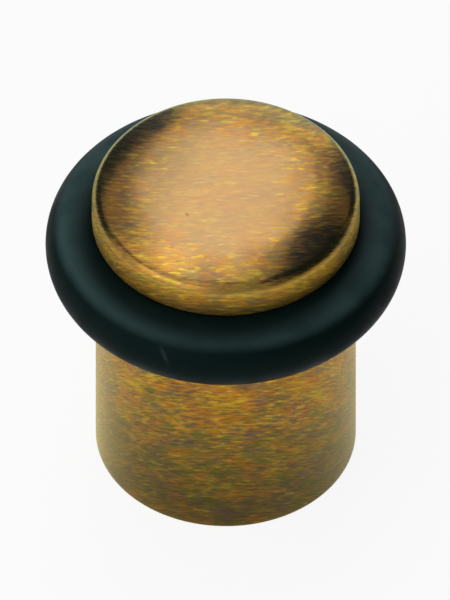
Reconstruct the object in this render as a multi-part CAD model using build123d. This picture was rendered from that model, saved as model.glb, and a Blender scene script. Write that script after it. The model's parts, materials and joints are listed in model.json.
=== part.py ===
from build123d import *

import os
from math import asin, cos, degrees, radians, sqrt, tan

# Floor door stop: a metal body turned from one bar, with a rubber buffer ring
# stretched into a groove below its domed head. It is fixed to the floor by a
# threaded stud that screws into its base.
#
# Millimetres. The origin is the centre of the base, at floor level, and +Z
# points up along the turning axis.

# Body and head
body_radius = 15.0
body_height = 27.6  # floor to the underside of the ring
head_radius = 15.45
head_wall_height = 3.0  # top of the ring to the start of the rounded rim

# Domed top, from the axis outwards: a gentle crown, a tighter shoulder, a rounded rim
crown_radius = 80.0
crown_reach = 10.0  # distance from the axis at which the crown meets the shoulder
shoulder_radius = 14.0
rim_edge_radius = 1.8

# Buffer ring, round in section, and the groove that holds it
ring_bore_radius = 12.2
ring_section_radius = 4.3
seat_clearance = 0.05
lip_edge_radius = 0.3  # broken edges on both sides of the groove

# Underside: a relieved base and a blind hole tapped M6
base_edge_radius = 0.4
relief_radius = 11.0
relief_depth = 0.6
relief_corner_radius = 0.3
tapping_radius = 2.5
tapping_depth = 14.0
tapping_mouth_chamfer = 0.6
drill_point_angle = 118.0

# Places that follow from the sizes above
ring_centre_radius = ring_bore_radius + ring_section_radius
ring_centre_height = body_height + ring_section_radius
groove_radius = ring_section_radius + seat_clearance
rim_height = ring_centre_height + ring_section_radius + head_wall_height

# Angles at which the arcs of the domed top run into each other, measured from level
crown_angle = degrees(asin(crown_reach / crown_radius))
shoulder_centre_radius = crown_reach * (1 - shoulder_radius / crown_radius)
shoulder_angle = degrees(
    asin((head_radius - rim_edge_radius - shoulder_centre_radius) / (shoulder_radius - rim_edge_radius))
)


def dome_rise():
    """Height of the top of the crown above the start of the rounded rim."""
    crown_drop = crown_radius * (1 - cos(radians(crown_angle)))
    shoulder_drop = shoulder_radius * (cos(radians(crown_angle)) - cos(radians(shoulder_angle)))
    rim_drop = rim_edge_radius * cos(radians(shoulder_angle))
    return crown_drop + shoulder_drop + rim_drop


def groove_half_width(wall_radius):
    """Half the width of the groove's mouth in a wall of that radius."""
    return sqrt(groove_radius**2 - (ring_centre_radius - wall_radius) ** 2)


def turned_body():
    """The body as one turning: its half-section runs from the crown down the outside and back up the hole."""
    crown_top = (0, rim_height + dome_rise())
    upper_lip = (head_radius, ring_centre_height + groove_half_width(head_radius))
    lower_lip = (body_radius, ring_centre_height - groove_half_width(body_radius))
    groove_floor = (ring_centre_radius - groove_radius, ring_centre_height)
    base_corner = (body_radius, 0)
    relief_corner = (relief_radius, relief_depth)
    hole_bottom = relief_depth + tapping_depth
    drill_point = tapping_radius / tan(radians(drill_point_angle / 2))

    with BuildPart() as body:
        with BuildSketch(Plane.XZ) as half_section:
            with BuildLine():
                # Domed top
                crown = JernArc(crown_top, (1, 0), crown_radius, -crown_angle)
                shoulder = JernArc(crown @ 1, crown % 1, shoulder_radius, crown_angle - shoulder_angle)
                rim = JernArc(shoulder @ 1, shoulder % 1, rim_edge_radius, shoulder_angle - 90)
                # Outside, past the groove to the floor
                Line(rim @ 1, upper_lip)
                ThreePointArc(upper_lip, groove_floor, lower_lip)
                # Foot, relief and tapped hole, up to the drill point on the axis
                Polyline(
                    lower_lip,
                    base_corner,
                    (relief_radius, 0),
                    relief_corner,
                    (tapping_radius + tapping_mouth_chamfer, relief_depth),
                    (tapping_radius, relief_depth + tapping_mouth_chamfer),
                    (tapping_radius, hole_bottom),
                    (0, hole_bottom + drill_point),
                )
                Line((0, hole_bottom + drill_point), crown_top)
            make_face()
            for corner, radius in (
                (upper_lip, lip_edge_radius),
                (lower_lip, lip_edge_radius),
                (base_corner, base_edge_radius),
                (relief_corner, min(relief_corner_radius, relief_depth / 2)),
            ):
                fillet(half_section.vertices().sort_by_distance(corner)[0], radius)
        revolve(axis=Axis.Z)
    return body.part


def buffer_ring():
    """The moulded rubber ring, seated in the groove."""
    with BuildPart() as ring:
        with BuildSketch(Plane.XZ):
            with Locations((ring_centre_radius, ring_centre_height)):
                Circle(ring_section_radius)
        revolve(axis=Axis.Z)
    return ring.part


os.makedirs("parts", exist_ok=True)
export_step(turned_body(), "parts/body.step")
export_step(buffer_ring(), "parts/buffer_ring.step")
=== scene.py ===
import json
import math

import bmesh
import bpy
from bpy.props import FloatProperty, FloatVectorProperty, IntProperty, PointerProperty
from mathutils import Matrix, Quaternion, Vector


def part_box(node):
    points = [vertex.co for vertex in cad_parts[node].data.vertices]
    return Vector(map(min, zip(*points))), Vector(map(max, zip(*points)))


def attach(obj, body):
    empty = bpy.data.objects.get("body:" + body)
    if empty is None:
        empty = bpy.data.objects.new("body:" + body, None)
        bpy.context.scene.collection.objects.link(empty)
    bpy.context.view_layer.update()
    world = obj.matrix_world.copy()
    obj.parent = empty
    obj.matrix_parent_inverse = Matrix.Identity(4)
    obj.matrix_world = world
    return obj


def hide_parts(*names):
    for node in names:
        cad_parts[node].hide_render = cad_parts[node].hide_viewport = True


bl_info = {
    "name": "Floor Door Stop",
    "version": (1, 0, 0),
    "blender": (4, 5, 0),
    "location": "View3D > Sidebar > Door Stop",
    "description": "Turns the brass body, moulds the rubber ring and sets the studio for a floor door stop",
    "category": "Object",
}

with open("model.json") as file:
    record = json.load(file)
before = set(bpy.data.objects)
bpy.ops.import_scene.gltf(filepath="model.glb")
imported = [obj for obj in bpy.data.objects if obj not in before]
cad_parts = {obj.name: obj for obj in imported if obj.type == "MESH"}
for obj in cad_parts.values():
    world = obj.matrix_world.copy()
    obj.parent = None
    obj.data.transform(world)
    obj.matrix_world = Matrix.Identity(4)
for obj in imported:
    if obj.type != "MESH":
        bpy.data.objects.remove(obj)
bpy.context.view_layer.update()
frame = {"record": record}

# The frame's own measures, in metres
BODY_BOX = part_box("body")
RING_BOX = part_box("buffer_ring")
STUD_THREAD = next(mount for mount in frame["record"]["mounts"] if mount["name"] == "floor_stud_thread")

MILLIMETRE = 0.001
MERGE_DISTANCE = 1e-7
SHARP_EDGE = math.radians(40)

# Faces along the runs of the body's half-section
DOME_STEPS = 14
HEAD_WALL_STEPS = 6
LIP_STEPS = 5
GROOVE_STEPS = 28
WALL_STEPS = 30
FOOT_STEPS = 6
LAND_STEPS = 4
CORNER_STEPS = 4
RELIEF_STEPS = 6
DRILL_STEPS = 2

# Rows of faces in one turn of the thread, and the shares of half its pitch that crest and flank take
THREAD_ROWS = 8
THREAD_CREST = 0.25
THREAD_FLANK = 0.625

# Order of the materials on the body
WALL, TOP, UNDERSIDE, HEAD = range(4)


def length(name, description, default):
    """A length that a user can change, in metres."""
    return FloatProperty(name=name, description=description, default=default, unit="LENGTH", precision=5)


def spot(name, description, millimetres):
    """A place or a set of three lengths, given in millimetres and kept in metres."""
    return FloatVectorProperty(
        name=name,
        description=description,
        default=[value * MILLIMETRE for value in millimetres],
        size=3,
        subtype="TRANSLATION",
        precision=5,
    )


def share(name, description, default):
    """A strength or amount from nothing to all."""
    return FloatProperty(
        name=name, description=description, default=default, min=0, max=1, subtype="FACTOR"
    )


def level(name, description, default):
    """A brightness, where 1 is plain white or leaves a colour as it is."""
    return FloatProperty(name=name, description=description, default=default, min=0)


def colour(name, description, default):
    """A colour that a user can change, in linear light."""
    return FloatVectorProperty(
        name=name, description=description, default=default, size=3, min=0, max=1, subtype="COLOR"
    )


def angle(name, description, degrees):
    """An angle that a user can change, given in degrees."""
    return FloatProperty(name=name, description=description, default=math.radians(degrees), subtype="ANGLE")


def count(name, description, default, least):
    """A number of faces."""
    return IntProperty(name=name, description=description, default=default, min=least)


class BodySizes(bpy.types.PropertyGroup):
    """Sizes of the turned brass body."""

    top_height: length("Top height", "Floor to the top of the crown", BODY_BOX[1].z)
    head_radius: length("Head radius", "Wall of the head above the ring", BODY_BOX[1].x)
    body_radius: length("Body radius", "Wall of the body below the ring", 15.0 * MILLIMETRE)
    crown_radius: length("Crown radius", "Gentle arc over the middle of the head", 80.0 * MILLIMETRE)
    crown_reach: length("Crown reach", "Axis to the end of the crown's arc", 10.0 * MILLIMETRE)
    shoulder_radius: length("Shoulder radius", "Tighter arc from the crown to the rim", 14.0 * MILLIMETRE)
    rim_edge_radius: length("Rim edge radius", "Rounding between shoulder and wall", 1.8 * MILLIMETRE)
    seat_clearance: length("Seat clearance", "Room between the ring and its groove", 0.05 * MILLIMETRE)
    lip_edge_radius: length("Lip edge radius", "Broken edges of the groove", 0.3 * MILLIMETRE)
    base_edge_radius: length("Base edge radius", "Rounding of the foot", 0.4 * MILLIMETRE)
    relief_radius: length("Relief radius", "Recess turned in the base", 11.0 * MILLIMETRE)
    relief_depth: length("Relief depth", "Depth of that recess", 0.6 * MILLIMETRE)
    relief_corner_radius: length("Relief corner", "Rounding inside the recess", 0.3 * MILLIMETRE)
    hole_radius: length("Hole radius", "Tapping hole", STUD_THREAD["dims"]["r_mm"] * MILLIMETRE)
    hole_wall: length("Hole wall", "Straight wall of it", STUD_THREAD["dims"]["length_mm"] * MILLIMETRE)
    mouth_chamfer: length("Mouth chamfer", "Countersink of the tapped hole", 0.6 * MILLIMETRE)
    thread_pitch: length("Thread pitch", "Rise of the thread in one turn", 1.0 * MILLIMETRE)
    thread_depth: length("Thread depth", "Depth of the thread's root in the wall", 0.5 * MILLIMETRE)
    drill_point: angle("Drill point", "Full angle of the hole's end", 118.0)
    segments: count("Segments", "Faces round the turning", 192, 24)


class RingSizes(bpy.types.PropertyGroup):
    """Sizes of the moulded rubber ring."""

    outer_radius: length("Outer radius", "Axis to the outside of the ring", RING_BOX[1].x)
    section_radius: length("Section radius", "Round section", (RING_BOX[1].z - RING_BOX[0].z) / 2)
    height: length("Height", "Floor to the middle of the ring", (RING_BOX[1].z + RING_BOX[0].z) / 2)
    section_segments: count("Section segments", "Faces round the section", 64, 12)
    segments: count("Segments", "Faces round the ring", 192, 24)


class BrassFinish(bpy.types.PropertyGroup):
    """Colours and texture of the brushed, darkened and lacquered brass, with painted shade towards the foot
    and painted light on the head.
    """

    gold: colour("Gold", "Brushed yellow flecks", (0.42, 0.27, 0.012))
    spark: colour("Spark", "Bright yellow dashes in the brushing", (0.58, 0.41, 0.03))
    amber: colour("Amber", "Orange flecks, the main tone", (0.40, 0.160, 0.014))
    umber: colour("Umber", "Red-brown flecks", (0.27, 0.075, 0.018))
    olive: colour("Olive", "Green-grey darkened flecks", (0.125, 0.120, 0.026))
    slate: colour("Slate", "Purple-grey darkened flecks", (0.132, 0.080, 0.056))
    # The top turns to this tan towards its middle.
    tan: colour("Tan", "Pale brass of the top, where the dark finish is rubbed off", (0.350, 0.215, 0.094))
    bare: colour("Bare brass", "Machined faces of the underside", (0.62, 0.42, 0.16))
    patch_length: length("Patch length", "Coloured patches along the brushing", 4.6 * MILLIMETRE)
    patch_width: length("Patch width", "Coloured patches across the brushing", 2.0 * MILLIMETRE)
    fleck_length: length("Fleck length", "Coloured flecks along the brushing", 1.3 * MILLIMETRE)
    fleck_width: length("Fleck width", "Coloured flecks across the brushing", 0.32 * MILLIMETRE)
    streak_length: length("Streak length", "Fine streaks along the brushing", 1.6 * MILLIMETRE)
    streak_width: length("Streak width", "Fine streaks across the brushing", 0.17 * MILLIMETRE)
    spark_length: length("Spark length", "Bright dashes along the brushing", 1.5 * MILLIMETRE)
    spark_width: length("Spark width", "Bright dashes across the brushing", 0.32 * MILLIMETRE)
    brush_tilt: angle("Brush tilt", "Lean of the brush strokes towards the front", 40.0)
    wall_mottle: share("Wall mottle", "Strength of the coloured flecks on the walls", 0.95)
    top_mottle: share("Top mottle", "Strength of the coloured flecks on the top", 0.75)
    # Painted shade: this darkens the wall towards the foot, standing in for the shadowed floor that the wall
    # mirrors there.
    painted_foot_shade: share("Foot shade", "Brightness left at the foot, where the finish is darkest", 0.39)
    shade_start: length("Shade start", "Height at which the wall starts to darken", 25.0 * MILLIMETRE)
    top_shade: share("Top shade", "Brightness of the top beside that of the body", 0.96)
    # Painted light: these three brighten the head's rim and wall above the body's level; the wall's
    # brightness falls towards the ring as painted shade, where the ring shades it.
    rim_painted_light: level("Head lift", "Brightness of the head's rim beside that of the body", 1.42)
    lip_painted_light: level("Lip lift", "Brightness of the head's wall beside the ring", 1.08)
    crest_painted_light: level("Crest lift", "Brightness of the head's wall where it meets the rim", 1.68)
    rim_tone: colour("Rim tone", "Yellow-green brass of the head's rim and wall", (0.31, 0.25, 0.055))
    rim_blend: share("Rim blend", "Share of that tone over the flecks", 0.3)
    lip_height: length("Lip height", "Height at which the head's wall meets the ring", 36.2 * MILLIMETRE)
    rim_start: length("Rim start", "Height at which the top turns into the rim", 41.0 * MILLIMETRE)
    rim_end: length("Rim end", "Height at which the rim turns into the head's wall", 39.2 * MILLIMETRE)
    # These set where the top turns tan: a paler middle with a streaky end.
    pale_centre: spot("Rubbed centre", "Middle of the rubbed top", (-0.6, -1.8, 0))
    pale_strength: share("Rubbed strength", "Share of the dark finish that is rubbed off there", 0.7)
    pale_stretch: share("Rubbed stretch", "Width of the rubbed top beside its length", 0.9)
    pale_reach: length("Rubbed reach", "From there to where the rubbing starts to end", 7.0 * MILLIMETRE)
    pale_fade: length("Rubbed fade", "Width over which the rubbing ends", 4.8 * MILLIMETRE)
    pale_break: length("Rubbed break", "How far single streaks reach past that end", 12.0 * MILLIMETRE)
    pit: spot("Pit", "Small dark pit in the top", (-4.48, -5.3, 42.5))
    pit_size: spot("Pit size", "Half sizes of that pit", (0.5, 0.19, 1))
    pit_turn: angle("Pit turn", "Turn of its long side from the brushing", -49.0)
    pit_shade: share("Pit shade", "Brightness left in it", 0.5)


class RubberFinish(bpy.types.PropertyGroup):
    """Colours and marks of the moulded rubber, and a painted sheen on its upper side."""

    black: colour("Black", "Teal-black rubber", (0.0014, 0.0085, 0.0078))
    # Painted sheen: a greyer tone on the ring's upper side, standing in for the reflection of the light
    # above; it is left off near the head, where the head shades the ring.
    painted_sheen: colour("Bloom", "Greyer bloom on its upper side", (0.035, 0.064, 0.065))
    painted_sheen_start: length("Bloom start", "Height at which the bloom starts", 34.3 * MILLIMETRE)
    painted_sheen_end: length("Bloom end", "Height at which it is full", 35.5 * MILLIMETRE)
    painted_sheen_centre: spot("Bloom centre", "Middle of its bare inside", (-0.5, -2.2, 0))
    painted_sheen_inside: length("Bloom inside", "From there to where the bloom starts", 15.2 * MILLIMETRE)
    painted_sheen_outside: length("Bloom outside", "From there to where it is full", 18.6 * MILLIMETRE)
    scuff: spot("Scuff", "Middle of a pale scuff", (-7.1, -19.2, 33.5))
    scuff_size: spot("Scuff size", "Half sizes of it", (0.42, 2.4, 1.7))
    scuff_turn: angle("Scuff turn", "Lean of it from upright", -25.0)
    scuff_tone: colour("Scuff tone", "Colour of it", (0.026, 0.036, 0.037))
    scuff_strength: share("Scuff strength", "Share of that colour in its middle", 0.6)


class StageSettings(bpy.types.PropertyGroup):
    """Camera, floor and light."""

    camera_elevation: angle("Camera elevation", "Camera above the horizon", 46.8)
    camera_distance: length("Camera distance", "Camera to the middle of the picture", 0.2)
    frame_height: length("Frame height", "Height that the picture takes in", 69.2 * MILLIMETRE)
    aim_height: length("Aim height", "Height on the axis at the middle of the picture", 22.39 * MILLIMETRE)
    aim_side: length("Aim side", "Sideways place of the middle of the picture", -0.09 * MILLIMETRE)
    floor_side: length("Floor side", "Length of the floor's sides", 4)
    floor_colour: colour("Floor", "Pale studio floor", (0.9, 0.9, 0.9))
    floor_white: share("Floor white", "Share of white that the eye and the metal see in the floor", 0.9)
    flag_tone: colour("Flag tone", "Teal-black cloth of the flags", (0.022, 0.048, 0.045))
    surround: level("Surround", "Light from all round", 0.24)
    wide_light: level("Wide light", "Brightness of the wide softbox overhead", 0.4)
    overhead_light: level("Overhead light", "Brightness that the narrower softbox below it adds", 0.6)
    side_light: level("Side light", "Brightness of the softbox overhead on the left", 0.62)
    back_light: level("Back light", "Brightness of the low softbox behind", 0.88)
    core_light: level("Core light", "Brightness that the narrowest softbox adds", 0.45)
    window_light: level("Window light", "Brightness of the low softbox at the front left", 1.4)
    low_left_light: level("Low left light", "Brightness of the low softbox at the left", 0.45)
    rear_left_light: level("Rear left light", "Brightness of the dim softbox behind on the left", 0.18)
    front_light: level("Front light", "Brightness of the dim softbox in front", 0.25)
    flag_twist: angle("Flag twist", "Turn of the flag overhead about the vertical", 7.0)
    overhead_twist: angle("Overhead twist", "Turn of the softboxes overhead about the vertical", -10.0)


class ProfilePen:
    """Draws a half-section in the XZ plane as a chain of edges, one run after another."""

    def __init__(self, mesh, start):
        self.mesh = mesh
        self.tip = mesh.verts.new((start[0], 0, start[1]))

    def arc(self, centre, turn, steps):
        """Swing the tip about a centre; a positive turn leads from up to outwards to down."""
        swung = bmesh.ops.spin(
            self.mesh,
            geom=[self.tip],
            cent=(centre[0], 0, centre[1]),
            axis=(0, 1, 0),
            angle=turn,
            steps=steps,
        )
        self.tip = next(item for item in swung["geom_last"] if isinstance(item, bmesh.types.BMVert))

    def line(self, end, steps=1):
        """Extrude the tip straight to an end point."""
        stride = (Vector((end[0], 0, end[1])) - self.tip.co) / steps
        for _ in range(steps):
            self.tip = bmesh.ops.extrude_vert_indiv(self.mesh, verts=[self.tip])["verts"][0]
            bmesh.ops.translate(self.mesh, verts=[self.tip], vec=stride)


def spin_round(mesh, segments):
    """Spin what is drawn once round the Z axis, and close its seam and poles."""
    bmesh.ops.spin(
        mesh,
        geom=mesh.verts[:] + mesh.edges[:],
        cent=(0, 0, 0),
        axis=(0, 0, 1),
        angle=math.tau,
        steps=segments,
        use_merge=True,
    )
    bmesh.ops.remove_doubles(mesh, verts=mesh.verts, dist=MERGE_DISTANCE)
    bmesh.ops.recalc_face_normals(mesh, faces=mesh.faces)


def finish_piece(name, mesh, materials, node):
    """Put a modelled mesh in the scene in place of its solid."""
    data = bpy.data.meshes.new(name)
    for face in mesh.faces:
        face.smooth = True
    mesh.to_mesh(data)
    mesh.free()
    data.set_sharp_from_angle(angle=SHARP_EDGE)
    for material in materials:
        data.materials.append(material)
    piece = bpy.data.objects.new(name, data)
    bpy.context.scene.collection.objects.link(piece)
    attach(piece, "root")
    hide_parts(node)


def draw_dome(pen, sizes):
    """Crown, shoulder and rounded rim, from the axis to the head's wall; returns where that wall starts."""
    crown_turn = math.asin(sizes.crown_reach / sizes.crown_radius)
    shoulder_centre = sizes.crown_reach * (1 - sizes.shoulder_radius / sizes.crown_radius)
    rim_centre = sizes.head_radius - sizes.rim_edge_radius
    rim_swing = sizes.shoulder_radius - sizes.rim_edge_radius
    shoulder_turn = math.asin((rim_centre - shoulder_centre) / rim_swing)
    crown_height = sizes.top_height - sizes.crown_radius
    shoulder_height = crown_height + (sizes.crown_radius - sizes.shoulder_radius) * math.cos(crown_turn)
    rim_height = shoulder_height + rim_swing * math.cos(shoulder_turn)
    pen.arc((0, crown_height), crown_turn, DOME_STEPS)
    pen.arc((shoulder_centre, shoulder_height), shoulder_turn - crown_turn, DOME_STEPS)
    pen.arc((rim_centre, rim_height), math.pi / 2 - shoulder_turn, DOME_STEPS)
    return rim_height


def draw_groove(pen, sizes, ring):
    """The head's wall and the groove with its two broken edges, as far as the body's wall."""
    groove_radius = ring.section_radius + sizes.seat_clearance
    groove_centre = ring.outer_radius - ring.section_radius
    lip_reach = groove_radius + sizes.lip_edge_radius
    upper_lip = sizes.head_radius - sizes.lip_edge_radius
    lower_lip = sizes.body_radius - sizes.lip_edge_radius
    upper_turn = math.asin((groove_centre - upper_lip) / lip_reach)
    lower_turn = math.asin((groove_centre - lower_lip) / lip_reach)
    upper_height = ring.height + lip_reach * math.cos(upper_turn)
    lower_height = ring.height - lip_reach * math.cos(lower_turn)
    pen.line((sizes.head_radius, upper_height), HEAD_WALL_STEPS)
    pen.arc((upper_lip, upper_height), math.pi / 2 - upper_turn, LIP_STEPS)
    pen.arc((groove_centre, ring.height), upper_turn + lower_turn - math.pi, GROOVE_STEPS)
    pen.arc((lower_lip, lower_height), math.pi / 2 - lower_turn, LIP_STEPS)


def draw_foot(pen, sizes):
    """The body's wall, the relieved base and the hole, up to its drill point on the axis."""
    hole_start = sizes.relief_depth + sizes.mouth_chamfer
    hole_end = hole_start + sizes.hole_wall
    drill_end = hole_end + sizes.hole_radius / math.tan(sizes.drill_point / 2)
    foot_edge = sizes.base_edge_radius
    corner = sizes.relief_corner_radius
    pen.line((sizes.body_radius, foot_edge), WALL_STEPS)
    pen.arc((sizes.body_radius - foot_edge, foot_edge), math.pi / 2, FOOT_STEPS)
    pen.line((sizes.relief_radius, 0), LAND_STEPS)
    pen.line((sizes.relief_radius, sizes.relief_depth - corner))
    pen.arc((sizes.relief_radius - corner, sizes.relief_depth - corner), -math.pi / 2, CORNER_STEPS)
    pen.line((sizes.hole_radius + sizes.mouth_chamfer, sizes.relief_depth), RELIEF_STEPS)
    pen.line((sizes.hole_radius, hole_start))
    pen.line((sizes.hole_radius, hole_end), round(THREAD_ROWS * sizes.hole_wall / sizes.thread_pitch))
    pen.line((0, drill_end), DRILL_STEPS)


def cut_thread(mesh, sizes):
    """Press the rows of the hole's wall outwards along a helix, as a tap cuts them."""
    start = sizes.relief_depth + sizes.mouth_chamfer
    end = start + sizes.hole_wall
    for vert in mesh.verts:
        reach = vert.co.xy.length
        height = vert.co.z
        if abs(reach - sizes.hole_radius) > MERGE_DISTANCE or not start < height < end - MERGE_DISTANCE:
            continue
        turns = (height - start) / sizes.thread_pitch - math.atan2(vert.co.y, vert.co.x) / math.tau
        flank = abs(2 * (turns % 1) - 1)
        run_in = min(1, (height - start) / sizes.thread_pitch, (end - height) / sizes.thread_pitch)
        root = min(1, max(0, (flank - THREAD_CREST) / THREAD_FLANK))
        vert.co.xy *= 1 + sizes.thread_depth * root * run_in / reach


def fill_inputs(tree, node, inputs):
    """Set a node's inputs, or link those that are given a socket."""
    for name, value in inputs.items():
        if isinstance(value, bpy.types.NodeSocket):
            tree.links.new(value, node.inputs[name])
        else:
            node.inputs[name].default_value = value


def add_node(tree, kind, inputs, **settings):
    """Add a node, set its options and fill its inputs."""
    made = tree.nodes.new(kind)
    for name, value in settings.items():
        setattr(made, name, value)
    fill_inputs(tree, made, inputs)
    return made


def opaque(rgb):
    """A colour property with its alpha."""
    return (*rgb, 1)


def mix_colours(tree, factor, first, second):
    """Mix two colours, each given as a socket or a value; returns the mixed colour's socket."""
    inputs = {0: factor, 6: first, 7: second}
    return add_node(tree, "ShaderNodeMix", inputs, data_type="RGBA").outputs[2]


def spread(tree, value, low, high, to_low=0.0, to_high=1.0):
    """Stretch the values from low to high smoothly over a new range; returns its socket."""
    inputs = {"Value": value, "From Min": low, "From Max": high, "To Min": to_low, "To Max": to_high}
    return add_node(tree, "ShaderNodeMapRange", inputs, interpolation_type="SMOOTHSTEP").outputs["Result"]


def reckon(tree, operation, first, second):
    """One step of arithmetic; returns its socket."""
    return add_node(tree, "ShaderNodeMath", {0: first, 1: second}, operation=operation).outputs[0]


def vector_step(tree, operation, first, second):
    """One step of arithmetic on vectors; returns its socket."""
    return add_node(tree, "ShaderNodeVectorMath", {0: first, 1: second}, operation=operation).outputs[0]


def vector_reach(tree, vector):
    """The length of a vector; returns its socket."""
    return add_node(tree, "ShaderNodeVectorMath", {0: vector}, operation="LENGTH").outputs["Value"]


def brighten(tree, tone, amount):
    """Scale a colour by an amount that changes over the surface; returns its socket."""
    inputs = {0: tone, "Scale": amount}
    return add_node(tree, "ShaderNodeVectorMath", inputs, operation="SCALE").outputs[0]


def noise(tree, place, scale, detail):
    """Even noise over the surface; returns its outputs."""
    inputs = {"Vector": place, "Scale": scale, "Detail": detail}
    return add_node(tree, "ShaderNodeTexNoise", inputs).outputs


def object_place(tree):
    """A point's place on the piece; returns its socket."""
    return add_node(tree, "ShaderNodeTexCoord", {}).outputs["Object"]


def height_of(tree, place):
    """A place's height above the floor; returns its socket."""
    return add_node(tree, "ShaderNodeSeparateXYZ", {"Vector": place}).outputs["Z"]


def mark_reach(tree, place, centre, half_sizes, turn, axis):
    """How far a place lies from the middle of an oval mark, where 1 is its edge; returns the socket."""
    inputs = {"Vector": place, "Center": centre, "Angle": -turn}
    turned = add_node(tree, "ShaderNodeVectorRotate", inputs, rotation_type=axis).outputs["Vector"]
    from_centre = vector_step(tree, "SUBTRACT", turned, centre)
    return vector_reach(tree, vector_step(tree, "DIVIDE", from_centre, half_sizes))


# Depth of the brush marks, the turning marks and the rubber's grain
MARK_DEPTH = 0.03 * MILLIMETRE


def mark_normals(tree, height, strength):
    """Normals of fine marks in the surface; returns the socket."""
    inputs = {"Height": height, "Strength": strength, "Distance": MARK_DEPTH}
    return add_node(tree, "ShaderNodeBump", inputs).outputs["Normal"]


FLECK_SOCKETS = (
    ("Vector", "NodeSocketVector"),
    ("Patch Scale", "NodeSocketVector"),
    ("Fleck Scale", "NodeSocketVector"),
    ("Streak Scale", "NodeSocketVector"),
    ("Spark Scale", "NodeSocketVector"),
    ("Spark", "NodeSocketColor"),
    ("Gold", "NodeSocketColor"),
    ("Amber", "NodeSocketColor"),
    ("Umber", "NodeSocketColor"),
    ("Olive", "NodeSocketColor"),
    ("Slate", "NodeSocketColor"),
    ("Mottle", "NodeSocketFloat"),
    ("Age", "NodeSocketFloat"),
)

# Noise values between which each colour of the flecks comes in
AMBER_RANGE = (0.30, 0.50)
GOLD_RANGE = (0.49, 0.65)
OLIVE_RANGE = (0.46, 0.69)
SLATE_RANGE = (0.47, 0.70)
SPARK_RANGE = (0.50, 0.74)

# How far age moves the noise towards each of these colours
OLIVE_AGEING = 0.11
SLATE_AGEING = 0.05
SPARK_AGEING = -0.06

# Amounts in the flecks, and what the fine streaks do to their brightness
FLECK_SHARE = 0.5
EVEN_GOLD = 0.4
SPARK_STRENGTH = 0.6
STREAK_RANGE = (0.3, 0.7)
STREAK_LIGHT = (0.76, 1.24)


def brushed_flecks_group():
    """Coloured patches broken up by fine streaks, as on brushed and darkened brass."""
    name = "Brushed Flecks"
    if name in bpy.data.node_groups:
        return bpy.data.node_groups[name]
    group = bpy.data.node_groups.new(name, "ShaderNodeTree")
    for label, kind in FLECK_SOCKETS:
        group.interface.new_socket(label, in_out="INPUT", socket_type=kind)
    group.interface.new_socket("Color", in_out="OUTPUT", socket_type="NodeSocketColor")
    group.interface.new_socket("Streak", in_out="OUTPUT", socket_type="NodeSocketFloat")
    given = group.nodes.new("NodeGroupInput").outputs

    def along_brushing(kind, detail):
        """Noise stretched along the brushing; returns its outputs."""
        stretched = vector_step(group, "MULTIPLY", given["Vector"], given[kind + " Scale"])
        return noise(group, stretched, 1.0, detail)

    def aged_noise(value, amount):
        """Noise moved by the age of the finish; returns its socket."""
        return reckon(group, "ADD", value, reckon(group, "MULTIPLY", given["Age"], amount))

    patches = along_brushing("Patch", 2.0)
    flecks = along_brushing("Fleck", 2.0)
    streaks = along_brushing("Streak", 1.0)
    sparks = along_brushing("Spark", 2.0)
    broken = mix_colours(group, FLECK_SHARE, patches["Color"], flecks["Color"])
    hue, green, grey = add_node(group, "ShaderNodeSeparateColor", {"Color": broken}).outputs[:3]
    green = aged_noise(green, OLIVE_AGEING)
    grey = aged_noise(grey, SLATE_AGEING)

    warm = mix_colours(group, spread(group, hue, *AMBER_RANGE), given["Umber"], given["Amber"])
    warm = mix_colours(group, spread(group, hue, *GOLD_RANGE), warm, given["Gold"])
    aged = mix_colours(group, spread(group, green, *OLIVE_RANGE), warm, given["Olive"])
    aged = mix_colours(group, spread(group, grey, *SLATE_RANGE), aged, given["Slate"])
    even = mix_colours(group, EVEN_GOLD, given["Amber"], given["Gold"])
    mottled = mix_colours(group, given["Mottle"], even, aged)
    sparked = spread(group, aged_noise(sparks["Fac"], SPARK_AGEING), *SPARK_RANGE, 0, SPARK_STRENGTH)
    mottled = mix_colours(group, sparked, mottled, given["Spark"])
    light = spread(group, streaks["Fac"], *STREAK_RANGE, *STREAK_LIGHT)

    result = group.nodes.new("NodeGroupOutput")
    fill_inputs(group, result, {"Color": brighten(group, mottled, light), "Streak": streaks["Fac"]})
    return group


def new_material(name):
    """An empty material with a Principled shader; returns the material, its tree and the shader."""
    material = bpy.data.materials.new(name)
    material.use_nodes = True
    tree = material.node_tree
    tree.nodes.clear()
    shader = tree.nodes.new("ShaderNodeBsdfPrincipled")
    output = tree.nodes.new("ShaderNodeOutputMaterial")
    tree.links.new(shader.outputs["BSDF"], output.inputs["Surface"])
    return material, tree, shader


def brushed_flecks(tree, finish, place, mottle, age):
    """Put the brushed flecks in a material; returns their colour and streaks."""
    lean = {"Vector": place, "Angle": finish.brush_tilt}
    leaning = add_node(tree, "ShaderNodeVectorRotate", lean, rotation_type="X_AXIS").outputs["Vector"]
    inputs = {"Vector": leaning, "Mottle": mottle, "Age": age}
    for kind in ("patch", "fleck", "streak", "spark"):
        along = 1 / getattr(finish, kind + "_length")
        across = 1 / getattr(finish, kind + "_width")
        inputs[kind.capitalize() + " Scale"] = (along, along, across)
    for tone in ("gold", "spark", "amber", "umber", "olive", "slate"):
        inputs[tone.capitalize()] = opaque(getattr(finish, tone))
    return add_node(tree, "ShaderNodeGroup", inputs, node_tree=brushed_flecks_group()).outputs


# Roughness from the bottoms of the brush marks to their tops, and how strongly the marks stand out
WALL_ROUGHNESS = (0.26, 0.34)
HEAD_ROUGHNESS = (0.56, 0.64)
TOP_ROUGHNESS = (0.15, 0.24)
WALL_MARKS = 0.6
TOP_MARKS = 0.5

# What the rim has beside the top: more roughness, a thinner lacquer, and where the painted light that
# brightens it comes in
RIM_ROUGHENING = 0.22
TOP_LACQUER = 0.7
RIM_LACQUER = 0.25
RIM_PAINTED_LIGHT_RANGE = (0.75, 1)

# Share of the pit's half sizes over which it is darkest
PIT_FLOOR = 0.2


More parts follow.
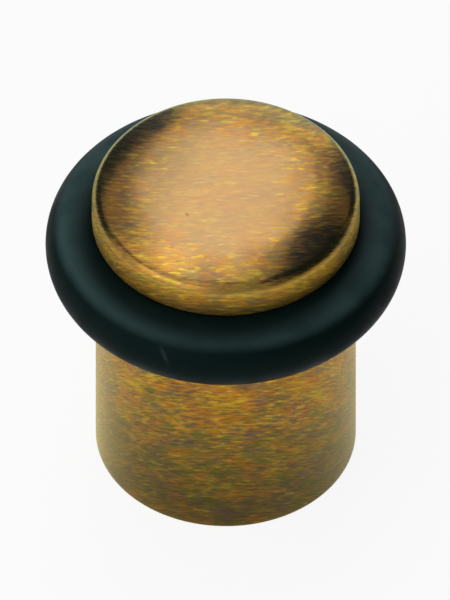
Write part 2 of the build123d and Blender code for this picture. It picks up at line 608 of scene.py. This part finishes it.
def brushed_wall(finish):
    """Brushed and darkened brass of the body's wall, with painted shade that darkens it towards the foot."""
    material, tree, shader = new_material("brushed wall brass")
    place = object_place(tree)
    height = height_of(tree, place)
    age = spread(tree, height, 0, finish.shade_start, 1, 0)
    flecks = brushed_flecks(tree, finish, place, finish.wall_mottle, age)
    # Painted shade, darker towards the foot, standing in for the mirrored shadow of the floor there.
    shade = spread(tree, height, 0, finish.shade_start, finish.painted_foot_shade, 1)
    inputs = {
        "Base Color": brighten(tree, flecks["Color"], shade),
        "Roughness": spread(tree, flecks["Streak"], *STREAK_RANGE, *WALL_ROUGHNESS),
        "Normal": mark_normals(tree, flecks["Streak"], WALL_MARKS),
        "Metallic": 1,
        "Specular Tint": (1, 0.95, 0.8, 1),
        "Sheen Weight": 1.0,
        "Sheen Roughness": 0.4,
        "Sheen Tint": (1, 0.77, 0.22, 1),
        "Coat Weight": 0.03,
        "Coat Roughness": 0.3,
        "Coat IOR": 1.5,
    }
    fill_inputs(tree, shader, inputs)
    return material


def brushed_head(finish):
    """Brushed brass of the head's upright wall, brightened by painted light that falls off into painted
    shade beside the ring.
    """
    material, tree, shader = new_material("brushed head brass")
    place = object_place(tree)
    flecks = brushed_flecks(tree, finish, place, finish.wall_mottle, 0.0)
    tone = mix_colours(tree, finish.rim_blend, flecks["Color"], opaque(finish.rim_tone))
    wall = (finish.lip_height, finish.rim_end)
    # Painted light and shade: brighter towards the rim, darker beside the ring.
    shade = spread(tree, height_of(tree, place), *wall, finish.lip_painted_light, finish.crest_painted_light)
    inputs = {
        "Base Color": brighten(tree, tone, shade),
        "Roughness": spread(tree, flecks["Streak"], *STREAK_RANGE, *HEAD_ROUGHNESS),
        "Normal": mark_normals(tree, flecks["Streak"], WALL_MARKS),
        "Metallic": 1,
        "Specular Tint": (0.55, 0.8, 0.6, 1),
        "Sheen Weight": 0.24,
        "Sheen Roughness": 0.3,
        "Sheen Tint": (1, 0.86, 0.42, 1),
    }
    fill_inputs(tree, shader, inputs)
    return material


def paled_share(tree, finish, place, streak):
    """How far the top turns tan towards its middle, with a streaky end; returns the socket."""
    from_centre = vector_step(tree, "SUBTRACT", place, finish.pale_centre)
    from_centre = vector_step(tree, "MULTIPLY", from_centre, (1, finish.pale_stretch, 0))
    reach = vector_reach(tree, from_centre)
    streaky = reckon(tree, "MULTIPLY", reckon(tree, "SUBTRACT", streak, 0.5), finish.pale_break)
    broken = reckon(tree, "ADD", streaky, reach)
    end = finish.pale_reach + finish.pale_fade
    return spread(tree, broken, finish.pale_reach, end, finish.pale_strength, 0)


def polished_top(finish):
    """Brushed brass of the domed top, paler in the middle, brightened by painted light at the rim, and
    lacquered, with one small pit.
    """
    material, tree, shader = new_material("lacquered top brass")
    place = object_place(tree)
    on_rim = spread(tree, height_of(tree, place), finish.rim_end, finish.rim_start, 1, 0)
    flecks = brushed_flecks(tree, finish, place, finish.top_mottle, 0.0)
    # Paler tan towards the middle of the top.
    paled = paled_share(tree, finish, place, flecks["Streak"])
    tone = mix_colours(tree, paled, flecks["Color"], opaque(finish.tan))
    rim_share = reckon(tree, "MULTIPLY", on_rim, finish.rim_blend)
    tone = mix_colours(tree, rim_share, tone, opaque(finish.rim_tone))
    pit_reach = mark_reach(tree, place, finish.pit, finish.pit_size, finish.pit_turn, "Z_AXIS")
    pit = spread(tree, pit_reach, PIT_FLOOR, 1, finish.pit_shade, 1)
    # Painted light that brightens the rim.
    painted_rim_lift = spread(tree, on_rim, *RIM_PAINTED_LIGHT_RANGE, finish.top_shade, finish.rim_painted_light)
    rough = spread(tree, flecks["Streak"], *STREAK_RANGE, *TOP_ROUGHNESS)
    inputs = {
        "Base Color": brighten(tree, tone, reckon(tree, "MULTIPLY", pit, painted_rim_lift)),
        "Roughness": reckon(tree, "ADD", rough, spread(tree, on_rim, 0, 1, 0, RIM_ROUGHENING)),
        "Normal": mark_normals(tree, flecks["Streak"], TOP_MARKS),
        "Metallic": 1,
        "Specular Tint": (0.55, 0.8, 0.6, 1),
        "Coat Weight": spread(tree, on_rim, 0, 1, TOP_LACQUER, RIM_LACQUER),
        "Coat Roughness": 0.42,
        "Coat IOR": 1.5,
    }
    fill_inputs(tree, shader, inputs)
    return material


def machined_brass(finish):
    """Bare brass with turning marks, on the underside and in the hole."""
    material, tree, shader = new_material("machined brass")
    waves = {"Vector": object_place(tree), "Scale": 1300.0, "Distortion": 1.5, "Detail": 1.0}
    rings = add_node(tree, "ShaderNodeTexWave", waves, wave_type="RINGS", rings_direction="Z").outputs["Fac"]
    inputs = {
        "Base Color": mix_colours(tree, rings, opaque(finish.amber), opaque(finish.bare)),
        "Normal": mark_normals(tree, rings, 0.2),
        "Metallic": 1,
        "Roughness": 0.38,
    }
    fill_inputs(tree, shader, inputs)
    return material


# Noise of the rubber's clouds and fine grain, and what the clouds do to its painted sheen and roughness
CLOUD_SCALE = 220.0
GRAIN_SCALE = 2600.0
GRAIN_MARKS = 0.15
PAINTED_SHEEN_CLOUDS = (0.3, 0.6)
PAINTED_SHEEN_AMOUNT = (0.7, 1)
RUBBER_CLOUDS = (0.3, 0.7)
RUBBER_ROUGHNESS = (0.45, 0.6)


def moulded_rubber(finish):
    """Smooth teal-black rubber with a faint painted sheen on its upper side and one pale scuff."""
    material, tree, shader = new_material("moulded rubber")
    place = object_place(tree)
    clouds = noise(tree, place, CLOUD_SCALE, 4.0)["Fac"]
    grain = noise(tree, place, GRAIN_SCALE, 2.0)["Fac"]
    # Painted sheen on the upper side, standing in for the light above, left off near the head where it
    # shades the ring.
    from_sheen_centre = vector_step(tree, "SUBTRACT", place, finish.painted_sheen_centre)
    from_sheen_centre = vector_step(tree, "MULTIPLY", from_sheen_centre, (1, 1, 0))
    painted_sheen_reach = vector_reach(tree, from_sheen_centre)
    outside = spread(tree, painted_sheen_reach, finish.painted_sheen_inside, finish.painted_sheen_outside)
    painted_sheen = spread(tree, height_of(tree, place), finish.painted_sheen_start, finish.painted_sheen_end)
    painted_sheen = reckon(tree, "MULTIPLY", painted_sheen, outside)
    painted_sheen = reckon(tree, "MULTIPLY", painted_sheen, spread(tree, clouds, *PAINTED_SHEEN_CLOUDS, *PAINTED_SHEEN_AMOUNT))
    tone = mix_colours(tree, painted_sheen, opaque(finish.black), opaque(finish.painted_sheen))
    scuff_reach = mark_reach(tree, place, finish.scuff, finish.scuff_size, finish.scuff_turn, "Y_AXIS")
    scuff = spread(tree, scuff_reach, 0, 1, finish.scuff_strength, 0)
    inputs = {
        "Base Color": mix_colours(tree, scuff, tone, opaque(finish.scuff_tone)),
        "Roughness": spread(tree, clouds, *RUBBER_CLOUDS, *RUBBER_ROUGHNESS),
        "Normal": mark_normals(tree, grain, GRAIN_MARKS),
        "Specular IOR Level": 0.04,
    }
    fill_inputs(tree, shader, inputs)
    return material


class TurnBody(bpy.types.Operator):
    """Turn the brass body as one lathe form, with its groove, domed head, relieved base and tapped hole"""

    bl_idname = "doorstop.turn_body"
    bl_label = "Turn Brass Body"

    def execute(self, context):
        sizes = context.scene.door_stop_body
        ring = context.scene.door_stop_ring
        finish = context.scene.door_stop_brass
        mesh = bmesh.new()
        pen = ProfilePen(mesh, (0, sizes.top_height))
        rim_height = draw_dome(pen, sizes)
        draw_groove(pen, sizes, ring)
        draw_foot(pen, sizes)
        spin_round(mesh, sizes.segments)
        cut_thread(mesh, sizes)

        inside = sizes.body_radius - 2 * sizes.base_edge_radius
        for face in mesh.faces:
            middle = face.calc_center_median()
            if middle.z > rim_height:
                face.material_index = TOP
            elif middle.z > ring.height:
                face.material_index = HEAD
            elif middle.z < ring.height - ring.section_radius and middle.xy.length < inside:
                face.material_index = UNDERSIDE
            else:
                face.material_index = WALL
        makers = (brushed_wall, polished_top, machined_brass, brushed_head)
        materials = [make(finish) for make in makers]
        finish_piece("turned_body", mesh, materials, "body")
        return {"FINISHED"}


class MouldRing(bpy.types.Operator):
    """Mould the rubber buffer ring, round in section, in its groove"""

    bl_idname = "doorstop.mould_ring"
    bl_label = "Mould Rubber Ring"

    def execute(self, context):
        sizes = context.scene.door_stop_ring
        mesh = bmesh.new()
        upright = Matrix.Rotation(math.pi / 2, 4, "X")
        seat = Matrix.Translation((sizes.outer_radius - sizes.section_radius, 0, sizes.height))
        bmesh.ops.create_circle(
            mesh, segments=sizes.section_segments, radius=sizes.section_radius, matrix=seat @ upright
        )
        spin_round(mesh, sizes.segments)
        materials = [moulded_rubber(context.scene.door_stop_rubber)]
        finish_piece("rubber_ring", mesh, materials, "buffer_ring")
        return {"FINISHED"}


def stage_panel(name, material, size, place):
    """A flat panel of the stage, put in its place."""
    mesh = bmesh.new()
    bmesh.ops.create_grid(mesh, x_segments=1, y_segments=1, size=0.5)
    bmesh.ops.scale(mesh, verts=mesh.verts, vec=(*size, 1))
    bmesh.ops.transform(mesh, verts=mesh.verts, matrix=place)
    data = bpy.data.meshes.new(name)
    mesh.to_mesh(data)
    mesh.free()
    data.materials.append(material)
    panel = bpy.data.objects.new(name, data)
    bpy.context.scene.collection.objects.link(panel)
    return panel


def lay_floor(settings):
    """A plain pale floor, seen mostly as white, which keeps the stop's shadow."""
    material, tree, shader = new_material("studio floor")
    plain = {"Base Color": opaque(settings.floor_colour), "Roughness": 0.9, "Specular IOR Level": 0.2}
    fill_inputs(tree, shader, plain)
    rays = add_node(tree, "ShaderNodeLightPath", {}).outputs
    seen = reckon(tree, "MAXIMUM", rays["Is Camera Ray"], rays["Is Glossy Ray"])
    seen = reckon(tree, "MAXIMUM", seen, rays["Is Transmission Ray"])
    white = add_node(tree, "ShaderNodeEmission", {"Color": (1, 1, 1, 1), "Strength": 1.0})
    white_share = reckon(tree, "MULTIPLY", seen, settings.floor_white)
    layers = {0: white_share, 1: shader.outputs["BSDF"], 2: white.outputs["Emission"]}
    mixed = add_node(tree, "ShaderNodeMixShader", layers)
    tree.links.new(mixed.outputs["Shader"], tree.nodes["Material Output"].inputs["Surface"])
    stage_panel("studio_floor", material, (settings.floor_side, settings.floor_side), Matrix())


# Lamp power on a square metre of softbox for a brightness of 1
SOFTBOX_POWER = 4

# How far in front of the point below it a panel aims that faces down, which settles its turn
DOWN_NUDGE = 0.001


def facing(place, aim, twist):
    """The turn that points a panel's or lamp's face from its place to a point, or straight down."""
    if aim is None:
        aim = (place[0], place[1] - DOWN_NUDGE, 0)
    return (Vector(aim) - Vector(place)).to_track_quat("-Z", "Y") @ Quaternion((0, 0, 1), twist)


def softbox(name, place, aim, size, radiance, twist=0.0):
    """A rectangular lamp of an even brightness, turned to a point and out of the camera's sight."""
    lamp = bpy.data.lights.new(name, "AREA")
    lamp.shape = "RECTANGLE"
    lamp.size, lamp.size_y = size
    lamp.energy = radiance * size[0] * size[1] * SOFTBOX_POWER
    box = bpy.data.objects.new(name, lamp)
    box.location = place
    box.rotation_euler = facing(place, aim, twist).to_euler()
    box.visible_camera = False
    bpy.context.scene.collection.objects.link(box)


def flag_cloth(settings):
    """Dull teal-black cloth."""
    material, tree, shader = new_material("black flag")
    dull = {"Base Color": opaque(settings.flag_tone), "Roughness": 1, "Specular IOR Level": 0}
    fill_inputs(tree, shader, dull)
    return material


def black_flag(name, place, aim, size, cloth, twist=0.0):
    """A panel that the metal mirrors as a dark band, turned to a point and out of the camera's sight."""
    seat = Matrix.Translation(place) @ facing(place, aim, twist).to_matrix().to_4x4()
    stage_panel(name, cloth, size, seat).visible_camera = False


def light_surround(settings):
    """Even light from all round."""
    world = bpy.data.worlds.new("studio surround")
    world.use_nodes = True
    even = {"Color": (1, 1, 1, 1), "Strength": settings.surround}
    fill_inputs(world.node_tree, world.node_tree.nodes["Background"], even)
    bpy.context.scene.world = world


def hang_lights(settings):
    """Softboxes overhead, behind, on the left and in front, and dark flags on both sides and overhead."""
    twist = settings.overhead_twist
    softbox("wide softbox", (0.02, 0.40, 0.56), None, (0.52, 1.08), settings.wide_light, twist)
    softbox("overhead softbox", (-0.01, 0.40, 0.558), None, (0.30, 1.0), settings.overhead_light, twist)
    softbox("core softbox", (0, 0.42, 0.555), None, (0.18, 0.56), settings.core_light, twist)
    softbox("left softbox", (-0.32, -0.16, 0.555), None, (0.46, 0.7), settings.side_light)
    softbox("back softbox", (0.105, 0.95, 0.3), (0.105, 0, 0.3), (0.59, 0.5), settings.back_light)
    softbox("window softbox", (-0.42, -0.45, 0.22), (0, 0, 0.03), (0.55, 0.40), settings.window_light)
    softbox("low left softbox", (-0.62, -0.16, 0.2), (0, 0, 0.04), (0.42, 0.34), settings.low_left_light)
    softbox("rear left softbox", (-0.37, 0.56, 0.55), None, (0.36, 0.72), settings.rear_left_light)
    softbox("front softbox", (0.06, -0.60, 0.52), (0, 0, 0.03), (0.8, 0.84), settings.front_light)
    cloth = flag_cloth(settings)
    black_flag("right flag", (0.35, -0.15, 0.13), (0, -0.15, 0.13), (0.54, 0.30), cloth)
    black_flag("overhead flag", (0.474, -0.10, 0.52), None, (0.58, 0.86), cloth, settings.flag_twist)
    black_flag("left flag", (-0.29, 0.31, 0.135), (0, 0, 0.135), (0.6, 0.29), cloth)
    black_flag("rear right flag", (0.42, 0.40, 0.185), (0, 0, 0.185), (0.36, 0.39), cloth)


def aim_camera(settings):
    """A view without perspective, from in front and above."""
    data = bpy.data.cameras.new("camera")
    data.type = "ORTHO"
    data.ortho_scale = settings.frame_height
    camera = bpy.data.objects.new("camera", data)
    aim = Vector((settings.aim_side, 0, settings.aim_height))
    back = Vector((0, -math.cos(settings.camera_elevation), math.sin(settings.camera_elevation)))
    camera.location = aim + settings.camera_distance * back
    camera.rotation_euler = (-back).to_track_quat("-Z", "Y").to_euler()
    bpy.context.scene.collection.objects.link(camera)
    bpy.context.scene.camera = camera


class SetStage(bpy.types.Operator):
    """Lay the floor, hang the lights and aim the camera"""

    bl_idname = "doorstop.set_stage"
    bl_label = "Set Stage"

    def execute(self, context):
        settings = context.scene.door_stop_stage
        lay_floor(settings)
        light_surround(settings)
        hang_lights(settings)
        aim_camera(settings)
        context.scene.view_settings.view_transform = "Standard"
        return {"FINISHED"}


class DoorStopPanel(bpy.types.Panel):
    """Sizes, finishes and steps of the door stop"""

    bl_idname = "VIEW3D_PT_door_stop"
    bl_label = "Floor Door Stop"
    bl_space_type = "VIEW_3D"
    bl_region_type = "UI"
    bl_category = "Door Stop"

    def draw(self, context):
        for step, settings in STEPS:
            self.layout.operator(step.bl_idname)
            for name in settings:
                group = getattr(context.scene, name)
                for key in group.__annotations__:
                    self.layout.prop(group, key)


SETTINGS = {
    "door_stop_body": BodySizes,
    "door_stop_ring": RingSizes,
    "door_stop_brass": BrassFinish,
    "door_stop_rubber": RubberFinish,
    "door_stop_stage": StageSettings,
}
STEPS = (
    (TurnBody, ("door_stop_body", "door_stop_brass")),
    (MouldRing, ("door_stop_ring", "door_stop_rubber")),
    (SetStage, ("door_stop_stage",)),
)


def register():
    """Register the settings, the steps and the panel."""
    for name, group in SETTINGS.items():
        bpy.utils.register_class(group)
        setattr(bpy.types.Scene, name, PointerProperty(type=group))
    for step, _ in STEPS:
        bpy.utils.register_class(step)
    bpy.utils.register_class(DoorStopPanel)


def unregister():
    """Remove what register added, in reverse."""
    bpy.utils.unregister_class(DoorStopPanel)
    for step, _ in reversed(STEPS):
        bpy.utils.unregister_class(step)
    for name, group in reversed(SETTINGS.items()):
        delattr(bpy.types.Scene, name)
        bpy.utils.unregister_class(group)


def main():
    """Build the door stop and its stage."""
    register()
    bpy.ops.doorstop.turn_body()
    bpy.ops.doorstop.mould_ring()
    bpy.ops.doorstop.set_stage()


if __name__ == "__main__":
    main()
